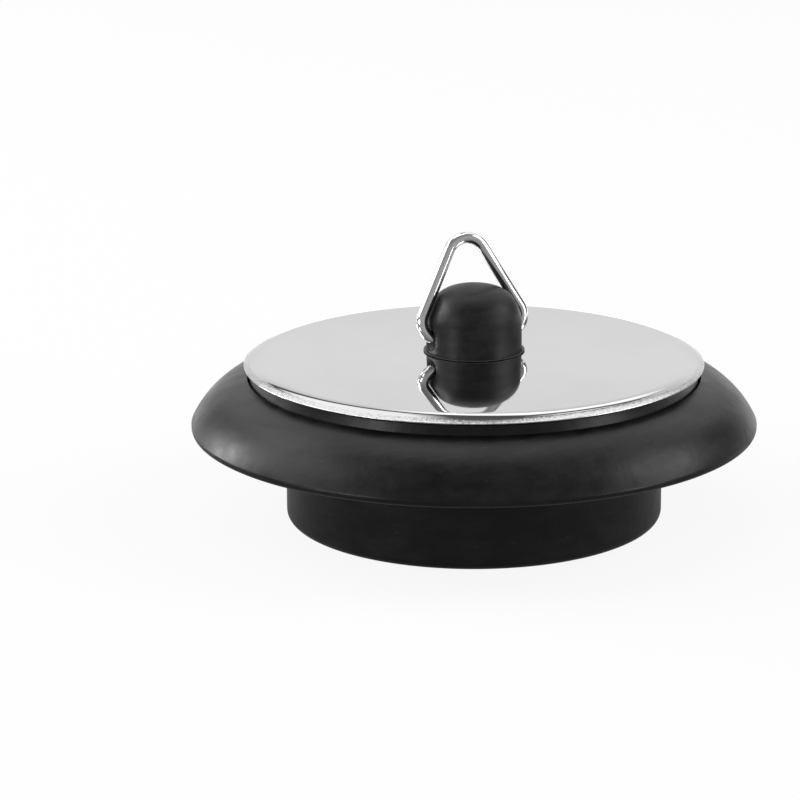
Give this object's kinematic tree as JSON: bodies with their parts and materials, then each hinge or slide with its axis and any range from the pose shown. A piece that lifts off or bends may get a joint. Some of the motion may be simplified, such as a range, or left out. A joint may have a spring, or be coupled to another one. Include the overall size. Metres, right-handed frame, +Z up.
{
  "type": "drain stopper",
  "caption": "Rubber drain stopper: hollow plug under a bell-shaped sealing flange, polished steel cap, domed rubber knob and a hinged wire pull ring.",
  "frame": {"origin": "centre of the plug's bottom rim, on the surface that the stopper stands on", "axes": "+Z up along the plug's axis, from the bottom rim to the knob; +X to the right and -Y to the viewer at the picture's angle"},
  "size_m": [0.06, 0.06, 0.0302],
  "materials": {
    "black_rubber": "satin moulded",
    "polished_sheet": "polished stainless",
    "polished_wire": "bright drawn wire"
  },
  "bodies": {
    "stopper": {"rubber_plug": "black_rubber", "steel_cap": "polished_sheet", "rubber_knob": "black_rubber"},
    "ring": {"pull_ring": "polished_wire"}
  },
  "joints": [
    {"name": "ring_swing", "type": "hinge", "parent": "stopper", "child": "ring", "pos_m": [0, 0, 0.01945], "axis": [0.9135, 0.4067, 0], "range_deg": [-81.3, 106.7]}
  ]
}
